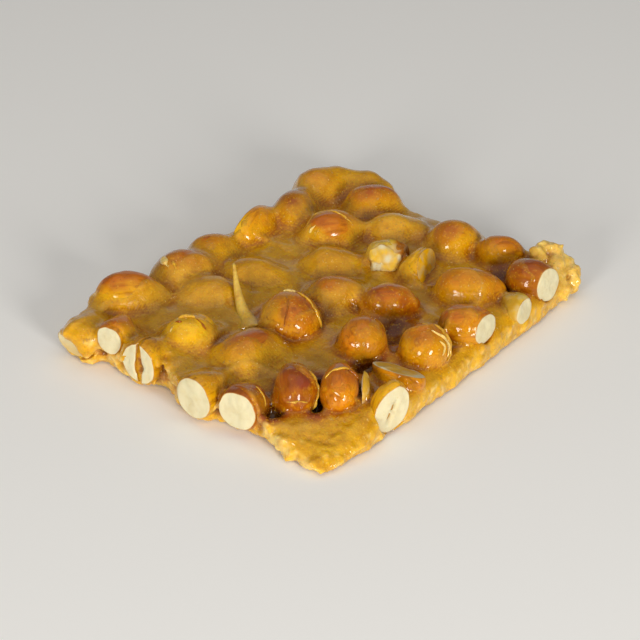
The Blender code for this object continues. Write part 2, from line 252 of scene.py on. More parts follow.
# Patches of colour on a kernel: yaw and pitch of the middle, its reach in degrees, colour, strength.
Patch = namedtuple("Patch", "yaw pitch reach colour strength")
PATCHES = {
    "whole_left": [Patch(-150, 30, 70, (234, 184, 26), 0.8)],
    "half_broken": [Patch(-50, 20, 60, (150, 78, 8), 0.9)],
    "whole_sunk": [Patch(160, 50, 56, (178, 92, 26), 0.9)],
    "whole_glossy": [
        Patch(155, 30, 40, (140, 56, 4), 0.7),
        Patch(-80, 25, 40, (150, 62, 4), 0.6),
    ],
    "whole_round": [Patch(170, 25, 38, (206, 120, 8), 0.8)],
    "whole_front_b": [Patch(-120, 10, 26, (216, 136, 8), 0.9)],
    "whole_front_a": [Patch(-115, 45, 26, (132, 52, 34), 0.7)],
    "whole_right": [Patch(170, 50, 40, (170, 84, 8), 0.9)],
    "whole_back_mid": [Patch(-120, 45, 50, (192, 108, 10), 0.8)],
    "half_back": [Patch(150, 30, 50, (236, 186, 20), 0.8)],
    "whole_back_tip": [Patch(-160, 30, 40, (206, 132, 8), 0.6)],
    "half_wide": [
        Patch(150, 20, 45, (206, 148, 22), 0.8),
        Patch(-110, 40, 35, (186, 104, 10), 0.7),
    ],
}

# The drop of toffee pulled up into a spike: foot, tip, how its middle bows, radii and colour.
SPIKE_FOOT = (-20.4, 4.6, 5.0)
SPIKE_TIP = (-11.0, 18.6, 13.2)
SPIKE_BOW = (-0.8, 0.2, -1.2)
SPIKE_RADII = (3.4, 0.3)
SPIKE = (224, 186, 84)

# Hollows that the toffee has not filled: centre, half sizes, and how far painted shade takes the colour
# down.
Hollow = namedtuple("Hollow", "place size yaw dark")
HOLLOWS = [
    Hollow((-32.2, -24.0, 6.0), (5.8, 2.8, 6.0), 38, 1.0),
    Hollow((-2.2, -21.6, 7.8), (5.0, 4.0, 3.2), -20, 0.5),
    Hollow((-16.2, -25.0, 7.6), (3.4, 2.4, 3.6), 10, 0.8),
    Hollow((33.0, -25.6, 8.4), (3.2, 2.6, 3.4), -60, 0.55),
    Hollow((-42.4, -20.2, 6.6), (2.4, 2.4, 3.2), 0, 0.9),
    Hollow((29.0, -30.2, 7.8), (2.6, 2.0, 2.6), -30, 0.5),
    Hollow((-15.4, 21.0, 7.4), (3.6, 0.7, 1.2), -62, 0.35),
]


def linear(colour):
    """sRGB from 0 to 255 as linear light."""
    value = np.asarray(colour, float) / 255
    return np.where(value <= 0.04045, value / 12.92, ((value + 0.055) / 1.055) ** 2.4)


def smoothstep(low, high, value):
    t = np.clip((value - low) / (high - low), 0, 1)
    return t * t * (3 - 2 * t)


def smooth_min(a, b, width):
    """The lower of two fields, with a fillet of the given width where they meet."""
    h = np.clip(0.5 + 0.5 * (b - a) / width, 0, 1)
    return b + (a - b) * h - width * h * (1 - h)


def smooth_max(a, b, width):
    return -smooth_min(-a, -b, width)


def length(vectors):
    return np.linalg.norm(vectors, axis=-1)


def direction(yaw, pitch):
    yaw, pitch = math.radians(yaw), math.radians(pitch)
    return np.array([math.cos(yaw) * math.cos(pitch), math.sin(yaw) * math.cos(pitch), math.sin(pitch)])


def noise(points, size, seed):
    """Smooth noise from -1 to 1 with features of a size in millimetres."""
    count = 32
    table = np.random.default_rng(seed).uniform(-1, 1, (count, count, count))
    place = np.asarray(points) / size + 1000.0
    base = np.floor(place).astype(np.int64)
    part = place - base
    part = part * part * (3 - 2 * part)
    low, high = base % count, (base + 1) % count
    total = 0.0
    for i in (0, 1):
        x, wx = (high, part) if i else (low, 1 - part)
        for j in (0, 1):
            y, wy = (high, part) if j else (low, 1 - part)
            for k in (0, 1):
                z, wz = (high, part) if k else (low, 1 - part)
                weight = wx[..., 0] * wy[..., 1] * wz[..., 2]
                total = total + table[x[..., 0], y[..., 1], z[..., 2]] * weight
    return total


# ---------------------------------------------------------------------------------------------
# Kernels

def turn_of(kernel):
    """The kernel's local axes as the columns of a matrix."""
    yaw = Matrix.Rotation(math.radians(kernel.yaw), 3, "Z")
    return np.array(yaw @ Matrix.Rotation(math.radians(-kernel.tilt), 3, "Y"))


def centre_of(kernel):
    return np.array([kernel.x, kernel.y, kernel.z])


def halves_of(kernel):
    return np.array([kernel.length, kernel.width, kernel.height]) / 2


def to_local(kernel, points):
    return (points - centre_of(kernel)) @ turn_of(kernel)


def kernel_distance(kernel, points):
    """Roughly the distance out of the whole kernel's surface, in millimetres."""
    local = to_local(kernel, points)
    half = halves_of(kernel)
    taper = 1 - EGG * np.clip(local[..., 0] / half[0], -1.2, 1.2)
    size = np.stack([np.full_like(taper, half[0]), half[1] * taper, half[2] * taper], axis=-1)
    scaled = local / size
    reach = length(scaled)
    slope = length(scaled / size)
    return reach * (reach - 1) / np.maximum(slope, 1e-6)


def plane_distance(kernel, points):
    """Distance beyond the kernel's broken face, in millimetres."""
    normal = direction(kernel.cut.yaw, kernel.cut.pitch)
    return (points - centre_of(kernel)) @ normal - kernel.cut.off


def over_corner(spots):
    """How far places lie above the line down to which toffee hides the corner kernel's face."""
    return spots[..., 2] - 4.7 - 0.45 * (spots[..., 1] - 33.0) + 0.5 * noise(spots, 2.5, 36)


def opened(kernel):
    return kernel.cut is not None and kernel.name.startswith("cut")


ALL_KERNELS = KERNELS + [SPLIT]


# ---------------------------------------------------------------------------------------------
# The slab

def side_at(side, place):
    """A side's own coordinate at places along it, eased from one break to the next."""
    starts = np.array([start for start, _ in side], float)
    levels = np.array([level for _, level in side], float)
    place = np.asarray(place, float)
    index = np.clip(np.searchsorted(starts, place) - 1, 0, len(side) - 2)
    ease = smoothstep(starts[index], starts[index + 1], place)
    return levels[index] + (levels[index + 1] - levels[index]) * ease


def outline():
    """The slab's edge in plan, as one closed run of points."""
    steps = 60
    run = np.linspace(-1, 1, steps, endpoint=False)
    corners = []
    ends = np.ones(steps)
    for u, v in ((run, -ends), (ends, run), (-run, ends), (-ends, -run)):
        x, y = u * HALF_LENGTH, v * HALF_WIDTH
        left, right = side_at(LEFT_SIDE, y), side_at(RIGHT_SIDE, y)
        front, back = side_at(FRONT_SIDE, x), side_at(BACK_SIDE, x)
        x += (left + HALF_LENGTH) * np.maximum(-u, 0) ** 3 + (right - HALF_LENGTH) * np.maximum(u, 0) ** 3
        y += (front + HALF_WIDTH) * np.maximum(-v, 0) ** 3 + (back - HALF_WIDTH) * np.maximum(v, 0) ** 3
        corners.append(np.stack([x, y], axis=-1))
    return np.concatenate(corners)


def outline_distance(x, y):
    """Signed distance out of the outline, in plan."""
    ring = outline()
    after = np.roll(ring, -1, axis=0)
    best = np.full(x.shape, 1e9)
    inside = np.zeros(x.shape, bool)
    for (ax, ay), (bx, by) in zip(ring, after):
        ex, ey = bx - ax, by - ay
        along = np.clip(((x - ax) * ex + (y - ay) * ey) / (ex * ex + ey * ey + 1e-12), 0, 1)
        best = np.minimum(best, (x - ax - along * ex) ** 2 + (y - ay - along * ey) ** 2)
        crosses = (ay > y) != (by > y)
        at = ax + (y - ay) * ex / (ey if abs(ey) > 1e-9 else 1e-9)
        inside ^= crosses & (x < at)
    return np.where(inside, -1.0, 1.0) * np.sqrt(best)


def top_level(x, y):
    """Height of the poured toffee between the kernels."""
    flat = np.stack([x, y, np.zeros_like(x)], axis=-1)
    pool = 0.55 * noise(flat, 17.0, 11) + 0.35 * noise(flat, 7.0, 12)
    near_corner = smoothstep(25, 1, np.hypot(x + HALF_LENGTH, y + HALF_WIDTH))
    right_corner = smoothstep(13, 4, np.hypot(x - HALF_LENGTH, y + HALF_WIDTH - 8))
    back_lump = smoothstep(9, 1, np.hypot(x - 45, y - 27))
    left_end = smoothstep(-37, -43, x) * (1.0 * smoothstep(-12, -4, y) + 1.2 * smoothstep(4, 9, y))
    level = VALLEY - 0.1 + pool + left_end - 3.6 * near_corner
    return level + 2.0 * right_corner + 3.2 * back_lump


GRID_STEP = 0.44
CREASE_REACH = 6  # in grid steps
CREASE_SHADE = 0.75
GRID_LOW = np.array([-51.2, -41.6, -0.8])
GRID_HIGH = np.array([51.2, 41.6, 14.4])


def hollow_place(hollow, points):
    """Places in a hollow's own axes, from its middle."""
    turn = np.array(Matrix.Rotation(math.radians(hollow.yaw), 3, "Z"))
    return (points - np.array(hollow.place)) @ turn


def window_round(centre, reach):
    """The part of the grid within reach of a place, as slices."""
    first = [max(0, int((centre[i] - reach - GRID_LOW[i]) / GRID_STEP)) for i in range(3)]
    last = [max(1, int((centre[i] + reach - GRID_LOW[i]) / GRID_STEP) + 1) for i in range(3)]
    return tuple(slice(low, high) for low, high in zip(first, last))


def grid_points():
    counts = np.ceil((GRID_HIGH - GRID_LOW) / GRID_STEP).astype(int) + 1
    axes = [GRID_LOW[i] + GRID_STEP * np.arange(counts[i]) for i in range(3)]
    return np.stack(np.meshgrid(*axes, indexing="ij"), axis=-1)


def toffee_field(points):
    """The toffee's distance field on the grid: negative inside."""
    x, y = points[:, :, 0, 0], points[:, :, 0, 1]
    level = top_level(x, y)
    edge = outline_distance(x, y)
    rim = smoothstep(-4.0, 0.0, edge)
    front = smoothstep(-30, -38, y)
    level = level - (0.5 + 1.3 * front) * rim
    z = points[..., 2]
    top = (z - level[..., None]) * 0.92

    # The broken side: fullest a little above its foot, and rough at two sizes of grain.
    grain = np.zeros(z.shape)
    near = np.broadcast_to(np.abs(edge)[..., None] < 3.2, z.shape)
    spots = points[near]
    along_front = smoothstep(-20, -40, spots[:, 0] * 0.7 + spots[:, 1] * 0.1)
    grain[near] = (
        (0.45 + 0.3 * along_front) * noise(spots, 3.1, 21)
        + (0.34 + 0.16 * along_front) * noise(spots, 1.35, 22)
        + (0.2 + 0.16 * along_front) * noise(spots, 0.8, 23)
    )
    foot = 0.5 * smoothstep(1.6, 0.0, z) + 0.12 * np.maximum(z - 2.4, 0)
    side = edge[..., None] + 0.35 + foot + grain * 0.9
    slab = smooth_max(top, side, 0.9)

    field = slab
    for x0, y0, z0, radius in CORNER_LUMPS:
        window = window_round((x0, y0, z0), radius + 3)
        spots = points[window]
        rough = 0.7 * noise(spots, 2.2, 61) + 0.45 * noise(spots, 1.0, 62)
        lump = length(spots - np.array([x0, y0, z0])) - radius + rough
        field[window] = smooth_min(field[window], lump, 0.8)

    for hollow in HOLLOWS:
        window = window_round(hollow.place, max(hollow.size) + 3)
        local = hollow_place(hollow, points[window])
        size = np.array(hollow.size)
        reach = length(local / size)
        slope = length(local / size ** 2)
        pit = reach * (reach - 1) / np.maximum(slope, 1e-6)
        field[window] = smooth_max(field[window], -pit, 1.0)

    for x0, y0, z0, radius in BACK_MOUNDS:
        window = window_round((x0, y0, z0), radius + 4)
        mound = length(points[window] - np.array([x0, y0, z0])) - radius
        field[window] = smooth_min(field[window], mound, 3.0)

    # Kernels: the film over each, and the meniscus up to it.
    for kernel in ALL_KERNELS:
        look = LOOKS[kernel.name]
        window = window_round(centre_of(kernel), kernel.length / 2 + 6)
        spots = points[window]
        patchy = 0.22 * noise(spots, 3.6, 51) + 0.06
        coat = kernel_distance(kernel, spots) - look.film - patchy
        if kernel.cut:
            behind = plane_distance(kernel, spots) + 0.7
            if kernel.name == "cut_corner":
                behind = behind - 1.5 * smoothstep(-0.2, 0.5, over_corner(spots))
            coat = smooth_max(coat, behind, 0.8)
        field[window] = smooth_min(field[window], coat, look.meniscus)

    # In front of each snapped face the toffee has come away.
    for kernel in ALL_KERNELS:
        if not opened(kernel):
            continue
        window = window_round(centre_of(kernel), kernel.length / 2 + 9)
        spots = points[window]
        normal = direction(kernel.cut.yaw, kernel.cut.pitch)
        beyond = plane_distance(kernel, spots)
        foot_points = spots - np.maximum(beyond, 0)[..., None] * normal
        column = kernel_distance(kernel, foot_points) - 0.1
        if kernel.name == "cut_corner":
            column = smooth_max(column, over_corner(spots), 0.5)
        cleared = np.maximum(column, -(beyond + 0.5))
        field[window] = smooth_max(field[window], -cleared, 0.4)

    # Small waves on the set surface, and grit near the broken edge.
    shell = np.abs(field) < 1.2
    spots = points[shell]
    rub = (
        0.28 * noise(spots, 6.5, 30) + 0.11 * noise(spots, 2.6, 31)
        + 0.035 * noise(spots, 1.2, 32)
    )
    ridge = smoothstep(0.16, 0.0, np.abs(noise(spots, 13.0, 33))) * smoothstep(3.5, 5.5, spots[:, 2])
    crumbly = smoothstep(24, 8, np.hypot(spots[:, 0] + HALF_LENGTH, spots[:, 1] + HALF_WIDTH))
    crumbs = 0.42 * noise(spots, 2.4, 34) + 0.34 * noise(spots, 1.1, 35)
    rim_zone = smoothstep(-3.2, -1.0, outline_distance(spots[:, 0], spots[:, 1]))
    rim_zone = rim_zone * smoothstep(8.5, 6.5, spots[:, 2]) * smoothstep(-34, -42, spots[:, 0])
    field[shell] += rub - 0.34 * ridge + np.maximum(crumbly, rim_zone) * crumbs
    field = smooth_max(field, -z, 0.3)
    return field


def kernel_union(points):
    """The kernels' own field on the grid, so that creases between bare kernels count too."""
    union = np.full(points.shape[:3], 9.0)
    for kernel in ALL_KERNELS:
        window = window_round(centre_of(kernel), kernel.length / 2 + 1)
        spots = points[window]
        away = kernel_distance(kernel, spots)
        if kernel.cut:
            away = np.maximum(away, plane_distance(kernel, spots))
        union[window] = np.minimum(union[window], away)
    return union


def surface_net(field, low, step):
    """The field's zero surface as points and quads: one point in each cell that it crosses."""
    inside = field < 0
    shape = tuple(size - 1 for size in field.shape)
    corners = [(i, j, k) for i in (0, 1) for j in (0, 1) for k in (0, 1)]

    def corner(values, offset):
        return values[tuple(slice(offset[a], offset[a] + shape[a]) for a in range(3))]

    held = sum(corner(inside, offset).astype(np.int8) for offset in corners)
    active = (held > 0) & (held < 8)
    cells = np.argwhere(active)
    total = np.zeros((len(cells), 3))
    count = np.zeros(len(cells))
    for start in corners:
        for axis in range(3):
            if start[axis]:
                continue
            end = list(start)
            end[axis] = 1
            a = field[tuple((cells + start).T)]
            b = field[tuple((cells + end).T)]
            crossed = (a < 0) != (b < 0)
            t = a[crossed] / (a[crossed] - b[crossed])
            place = np.repeat(np.array([start], float), crossed.sum(), axis=0)
            place[:, axis] += t
            total[crossed] += place
            count[crossed] += 1
    points = low + step * (cells + total / count[:, None])

    number = np.full(shape, -1, np.int64)
    number[active] = np.arange(len(cells))
    quads = []
    for axis in range(3):
        first, second = [a for a in range(3) if a != axis]
        low_side = inside.take(range(0, field.shape[axis] - 1), axis=axis)
        high_side = inside.take(range(1, field.shape[axis]), axis=axis)
        edges = np.argwhere(low_side != high_side)
        keep = (edges[:, first] > 0) & (edges[:, second] > 0)
        keep &= (edges[:, first] < shape[first]) & (edges[:, second] < shape[second])
        edges = edges[keep]
        ring = []
        for da, db in ((1, 1), (0, 1), (0, 0), (1, 0)):
            cell = edges.copy()
            cell[:, first] -= da
            cell[:, second] -= db
            ring.append(number[tuple(cell.T)])
        ring = np.stack(ring, axis=-1)
        leaves = low_side[tuple(edges.T)]
        flip = leaves if axis == 1 else ~leaves
        ring[flip] = ring[flip][:, ::-1]
        quads.append(ring)
    return points, np.concatenate(quads)


def largest_part(points, quads):
    """Keeps the surface's biggest connected part, so that no crumb floats and no bubble is shut in."""
    label = np.arange(len(points))
    corners = quads.ravel()
    while True:
        fresh = label.copy()
        np.minimum.at(fresh, corners, np.repeat(label[quads].min(axis=1), 4))
        fresh = fresh[fresh]
        if np.array_equal(fresh, label):
            break
        label = fresh
    kept = label == np.bincount(label).argmax()
    number = np.cumsum(kept) - 1
    return points[kept], number[quads[kept[quads[:, 0]]]]


def solid_share(field, reach):
    """The share of toffee and kernel within a box round each grid place: high in creases."""
    share = (field < 0).astype(np.float32)
    for axis in range(3):
        total = np.cumsum(share, axis=axis)
        size = share.shape[axis]
        upper = np.clip(np.arange(size) + reach, 0, size - 1)
        lower = np.clip(np.arange(size) - reach - 1, 0, size - 1)
        below = total.take(lower, axis=axis)
        clear = [1, 1, 1]
        clear[axis] = size
        below = below * (np.arange(size) - reach - 1 >= 0).reshape(clear)
        share = (total.take(upper, axis=axis) - below) / (2 * reach + 1)
    return share


def sample_grid(values, points):
    """A grid's values at places, from the nearest grid point."""
    index = np.rint((points - GRID_LOW) / GRID_STEP).astype(int)
    index = np.clip(index, 0, np.array(values.shape) - 1)
    return values[tuple(index.T)]


def new_object(name, data):
    obj = bpy.data.objects.new(name, data)
    bpy.context.scene.collection.objects.link(obj)
    return obj


def paint(mesh, colours):
    """Stores linear colours, one per point."""
    rows = np.ones((len(colours), 4), np.float32)
    rows[:, :3] = colours
    layer = mesh.color_attributes.new("tone", "FLOAT_COLOR", "POINT")
    layer.data.foreach_set("color", rows.ravel())


def store(mesh, name, kind, key, values):
    """Stores one value of a kind per point."""
    layer = mesh.attributes.new(name, kind, "POINT")
    layer.data.foreach_set(key, np.asarray(values, np.float32).ravel())


def blend(a, b, weight):
    return a + (b - a) * np.asarray(weight)[..., None]


def wash(colours, colour, weight):
    """Linear colours washed over with an sRGB one."""
    return blend(colours, linear(colour), weight)


def skin_colours(kernel, points):
    """A kernel's colour where it shows: brown on its back, turning to gold down its flanks, with painted
    glow on the flanks that face the front and the left.
    """
    look = LOOKS[kernel.name]
    skin = linear(SKINS[look.skin])
    seed = 200 + 3 * ALL_KERNELS.index(kernel)
    tint = noise(points, 4.5, seed)
    small = noise(points, 1.6, seed + 1)
    level = (points[:, 2] - kernel.z) / (kernel.height / 2) + 0.30 * tint + 0.12 * small
    # The flanks that face the front and the left get painted glow, as if light came through the toffee;
    # the gold lower down follows the height on the kernel.
    outward = points - centre_of(kernel)
    outward = outward / (length(outward)[:, None] + 1e-6)
    facing = outward @ np.array([-0.75, -0.62, 0.1])
    gold = smoothstep(0.85, 0.15, level - 0.4 * facing)
    darker = skin * np.array([0.78, 0.66, 0.5])
    colours = np.tile(skin, (len(points), 1))
    colours = blend(colours, darker, 0.7 * smoothstep(-0.1, 0.7, tint + 0.4 * small))
    colours = wash(colours, FLANK_GOLD_AND_GLOW, look.flank * gold)
    for patch in PATCHES.get(kernel.name, []):
        cosine = np.clip(outward @ direction(patch.yaw, patch.pitch), -1, 1)
        away = np.degrees(np.arccos(cosine)) + 9 * tint
        weight = patch.strength * smoothstep(patch.reach, patch.reach * 0.55, away)
        colours = wash(colours, patch.colour, weight)
    return colours


def crease_shade(colours, share):
    """Painted shade: darkens creases, where there is solid all round, first to red-brown and then near
    black.
    """
    colours = wash(colours, SHADE_RED, CREASE_SHADE * smoothstep(0.5, 0.66, share))
    return wash(colours, SHADE_DEEP, CREASE_SHADE * smoothstep(0.6, 0.8, share))


def toffee_colours(points, share):
    """The toffee's colour, and how rough and how clear its surface is."""
    x, y, z = points.T
    film = np.full(len(points), 99.0)
    nearest = np.zeros(len(points), int)
    for index, kernel in enumerate(ALL_KERNELS):
        away = kernel_distance(kernel, points)
        nearest = np.where(away < film, index, nearest)
        film = np.minimum(film, away)
    skin = np.zeros((len(points), 3))
    for index, kernel in enumerate(ALL_KERNELS):
        mine = nearest == index
        if mine.any():
            skin[mine] = skin_colours(kernel, points[mine])
    broad = 0.5 + 0.5 * noise(points, 11.0, 41)
    fine = 0.5 + 0.5 * noise(points, 3.0, 42)
    colour = np.tile(linear(TOFFEE), (len(points), 1))
    colour = wash(colour, TOFFEE_DEEP, 0.4 * broad + 0.12 * fine)
    upper = smoothstep(3.5, 5.5, z)
    # Painted sheen: pale streaks along the flow ridges and broad hazy patches, on the upper surfaces.
    sheen_weight = smoothstep(0.2, 0.0, np.abs(noise(points, 13.0, 33)))
    sheen_weight = np.maximum(0.5 * sheen_weight, 0.4 * smoothstep(0.15, 0.6, noise(points, 16.0, 45)))
    colour = wash(colour, PAINTED_SHEEN, sheen_weight * upper)
    # Round the kernels the toffee stands deep and clear, with a ring of painted glow.
    ring = np.exp(-((film - 1.4) / 1.3) ** 2)
    colour = wash(colour, FLANK_GOLD_AND_GLOW, 0.35 * ring)
    pale = smoothstep(18, 3, np.hypot(x + HALF_LENGTH, y + HALF_WIDTH) + 5 * noise(points, 5.0, 44))
    colour = wash(colour, TOFFEE_PALE, 0.8 * pale)
    lumpy = noise(points, 2.2, 46) + 0.6 * noise(points, 1.0, 47)
    colour = wash(colour, CRUMB, 0.45 * pale * smoothstep(0.15, 0.7, lumpy))
    colour = wash(colour, TOFFEE_DEEP, 0.6 * pale * smoothstep(-0.15, -0.7, lumpy))
    chunk = smoothstep(11, 6, np.hypot(x - 47, y + 33))
    edge = outline_distance(x, y)
    speck = smoothstep(0.0, 0.7, noise(points, 1.0, 43) + 0.45 * smoothstep(-38, -45, x))
    crumbs = blend(linear(SIDE), linear(CRUMB), speck)
    side = np.maximum(smoothstep(-1.6, -0.2, edge) * smoothstep(8.5, 6.0, z), 0.85 * chunk)
    colour = blend(colour, crumbs, 0.85 * side)
    colour = wash(colour, CRUMB, 0.4 * chunk)
    # Kernels show through the film.
    through = np.exp(-np.maximum(film, 0) / 0.6)
    colour = blend(colour, skin, through)
    colour = crease_shade(colour, share)
    # Painted shade in the unfilled hollows: red-brown round each, near black in its depth.
    for hollow in HOLLOWS:
        reach = length(hollow_place(hollow, points) / (np.array(hollow.size) + 0.8))
        apart = smoothstep(0.1, 0.8, film)
        red_shade = min(1.0, 1.6 * hollow.dark)
        colour = wash(colour, SHADE_RED, red_shade * smoothstep(1.6, 1.1, reach) * apart)
        colour = wash(colour, SHADE_DEEP, hollow.dark * smoothstep(1.25, 0.8, reach) * apart)
    clear = smoothstep(4.0, 1.4, film)
    rough = 0.27 + 0.08 * broad - 0.19 * clear + 0.30 * side + 0.25 * pale
    return colour, rough


# ---------------------------------------------------------------------------------------------
# Materials

GRAIN_SCALE = 1500  # cells to a metre of the finest specks and pores


def new_material(name):
    made = bpy.data.materials.new(name)
    made.use_nodes = True
    tree = made.node_tree
    return made, tree, tree.nodes["Principled BSDF"]


def set_inputs(node, **values):
    """Sets a node's inputs by name, with an underscore for each space."""
    for name, value in values.items():
        node.inputs[name.replace("_", " ")].default_value = value


def noise_node(tree, scale, detail, vector):
    node = tree.nodes.new("ShaderNodeTexNoise")
    set_inputs(node, Scale=scale, Detail=detail)
    tree.links.new(vector, node.inputs["Vector"])
    return node.outputs["Fac"]


def ramp_node(tree, value, low, high, to_low=0.0, to_high=1.0):
    node = tree.nodes.new("ShaderNodeMapRange")
    node.interpolation_type = "SMOOTHSTEP"
    set_inputs(node, From_Min=low, From_Max=high, To_Min=to_low, To_Max=to_high)
    tree.links.new(value, node.inputs["Value"])
    return node.outputs["Result"]


def multiply(tree, a, b):
    node = tree.nodes.new("ShaderNodeMath")
    node.operation = "MULTIPLY"
    tree.links.new(a, node.inputs[0])
    tree.links.new(b, node.inputs[1])
    return node.outputs["Value"]


def mix_node(tree, weight, a, b):
    node = tree.nodes.new("ShaderNodeMix")
    node.data_type = "RGBA"
    tree.links.new(weight, node.inputs["Factor"])
    for socket, value in ((node.inputs[6], a), (node.inputs[7], b)):
        if isinstance(value, tuple):
            socket.default_value = value
        else:
            tree.links.new(value, socket)
    return node.outputs[2]


def rgba(colour):
    return tuple(linear(colour)) + (1.0,)


def object_place(tree):
    return tree.nodes.new("ShaderNodeTexCoord").outputs["Object"]


def attribute(tree, name, output):
    node = tree.nodes.new("ShaderNodeAttribute")
    node.attribute_name = name
    return node.outputs[output]


def bump(tree, shader, heights):
    """Chains bumps, the broad one first: (height, distance in metres, strength). The clear outer
    layer follows only the first of them, so that it stays glossy."""
    normal = None
    for number, (height, distance, strength) in enumerate(heights):
        node = tree.nodes.new("ShaderNodeBump")
        set_inputs(node, Distance=distance, Strength=strength)
        tree.links.new(height, node.inputs["Height"])
        if normal is not None:
            tree.links.new(normal, node.inputs["Normal"])
        if number == 0:
            tree.links.new(node.outputs["Normal"], shader.inputs["Coat Normal"])
        normal = node.outputs["Normal"]
    tree.links.new(normal, shader.inputs["Normal"])


def make_toffee():
    made, tree, shader = new_material("toffee")
    place = object_place(tree)
    tone = attribute(tree, "tone", "Color")
    mottle = noise_node(tree, 420, 4, place)
    grains = noise_node(tree, GRAIN_SCALE, 2, place)
    clusters = ramp_node(tree, noise_node(tree, 160, 2, place), 0.45, 0.62, 0.0, 0.45)
    dark_spots = multiply(tree, ramp_node(tree, grains, 0.58, 0.72), clusters)
    # Pale specks: partly the sugar's own bubbles and grains, partly painted glints of tiny highlights.
    pale_specks_and_glints = ramp_node(tree, grains, 0.64, 0.76, 0.0, 0.55)
    shade = mix_node(tree, ramp_node(tree, mottle, 0.4, 0.7, 0.0, 0.5), tone, rgba(TOFFEE_DEEP))
    shade = mix_node(tree, ramp_node(tree, grains, 0.42, 0.30, 0.0, 0.4), shade, rgba(GLOW))
    shade = mix_node(tree, pale_specks_and_glints, shade, rgba(CRUMB))
    shade = mix_node(tree, dark_spots, shade, rgba(FLECK))
    tree.links.new(shade, shader.inputs["Base Color"])
    tree.links.new(attribute(tree, "rough", "Fac"), shader.inputs["Roughness"])
    set_inputs(shader, IOR=1.2, Coat_Weight=0.8, Coat_Roughness=0.06, Coat_IOR=1.42)
    set_inputs(shader, Subsurface_Weight=0.35, Subsurface_Radius=(1.0, 0.5, 0.1), Subsurface_Scale=0.002)
    bump(tree, shader, [
        (noise_node(tree, 300, 3, place), 0.0004, 0.25),
        (noise_node(tree, 800, 3, place), 0.0003, 0.4),
        (grains, 0.0003, 0.6),
    ])
    return made


def make_skin():
    """Roasted skin under a thin clear film: veins run along the kernel, in its own coordinates."""
    made, tree, shader = new_material("nut_skin")
    place = object_place(tree)
    tone = attribute(tree, "tone", "Color")
    local = attribute(tree, "along", "Vector")
    stretch = tree.nodes.new("ShaderNodeMapping")
    set_inputs(stretch, Scale=(0.10, 0.75, 0.75))
    tree.links.new(local, stretch.inputs["Vector"])
    veins = noise_node(tree, 1.0, 4, stretch.outputs["Vector"])
    fine = noise_node(tree, 900, 3, place)
    pores = noise_node(tree, GRAIN_SCALE, 2, place)
    shade = mix_node(tree, ramp_node(tree, veins, 0.5, 0.66, 0.0, 0.5), tone, rgba(VEIN))
    shade = mix_node(tree, ramp_node(tree, veins, 0.46, 0.30, 0.0, 0.45), shade, rgba(VEIN_GOLD))
    shade = mix_node(tree, ramp_node(tree, pores, 0.6, 0.74, 0.0, 0.35), shade, rgba(PORE))
    shade = mix_node(tree, ramp_node(tree, fine, 0.62, 0.74, 0.0, 0.3), shade, rgba(PORE_PALE))
    tree.links.new(shade, shader.inputs["Base Color"])
    set_inputs(shader, Roughness=0.3, IOR=1.2, Coat_Weight=0.8, Coat_Roughness=0.05, Coat_IOR=1.42)
    set_inputs(shader, Subsurface_Weight=0.15, Subsurface_Radius=(1.0, 0.4, 0.1), Subsurface_Scale=0.001)
    bump(tree, shader, [
        (noise_node(tree, 400, 2, place), 0.0004, 0.35),
        (veins, 0.0005, 0.6),
        (fine, 0.00015, 0.4),
    ])
    return made


def make_flesh():
    made, tree, shader = new_material("nut_flesh")
    place = object_place(tree)
    tone = attribute(tree, "tone", "Color")
    broad = noise_node(tree, 420, 4, place)
    fine = noise_node(tree, 1700, 3, place)
    shade = mix_node(tree, ramp_node(tree, broad, 0.42, 0.66, 0.0, 0.45), tone, rgba(CREAM_SHADE))
    shade = mix_node(tree, ramp_node(tree, fine, 0.6, 0.74, 0.0, 0.3), shade, rgba(FLESH_FLECK))
    tree.links.new(shade, shader.inputs["Base Color"])
    set_inputs(shader, Roughness=0.6, IOR=1.1)
    set_inputs(shader, Subsurface_Weight=0.2, Subsurface_Radius=(1.0, 0.7, 0.4), Subsurface_Scale=0.001)
    bump(tree, shader, [(broad, 0.0004, 0.4), (fine, 0.00012, 0.4)])
    return made


# ---------------------------------------------------------------------------------------------
# Meshes of the kernels

AROUND, ALONG = 72, 44


def skin_relief(unit, seed):
    """How far the skin stands out at unit directions in the kernel's frame: lumps and long ribs."""
    lumps = 0.34 * noise(unit * 5, 4.6, seed) + 0.16 * noise(unit * 5, 2.0, seed + 1)
    ribs = 0.07 * noise(unit * np.array([0.6, 5, 5]), 0.9, seed + 2)
    return lumps + ribs


def kernel_bmesh(kernel, seed):
    bm = bmesh.new()
    bmesh.ops.create_uvsphere(bm, u_segments=AROUND, v_segments=ALONG, radius=1.0)
    bmesh.ops.rotate(bm, verts=bm.verts, matrix=Matrix.Rotation(math.pi / 2, 3, "Y"))
    unit = np.array([vert.co for vert in bm.verts])
    half = halves_of(kernel)
    taper = 1 - EGG * unit[:, 0]
    local = unit * half
    local[:, 1] *= taper
    local[:, 2] *= taper
    local += unit * skin_relief(unit, seed)[:, None]
    if kernel.name == "half_broken":
        knobs = 0.7 * noise(local, 2.6, seed + 4) + 0.35 * noise(local, 1.1, seed + 5)
        local += unit * knobs[:, None]
    world = local @ turn_of(kernel).T + centre_of(kernel)
    for vert, place in zip(bm.verts, world):
        vert.co = Vector(place)
    return bm


RIBBON_STEPS, RIBBON_SIDES = 30, 8


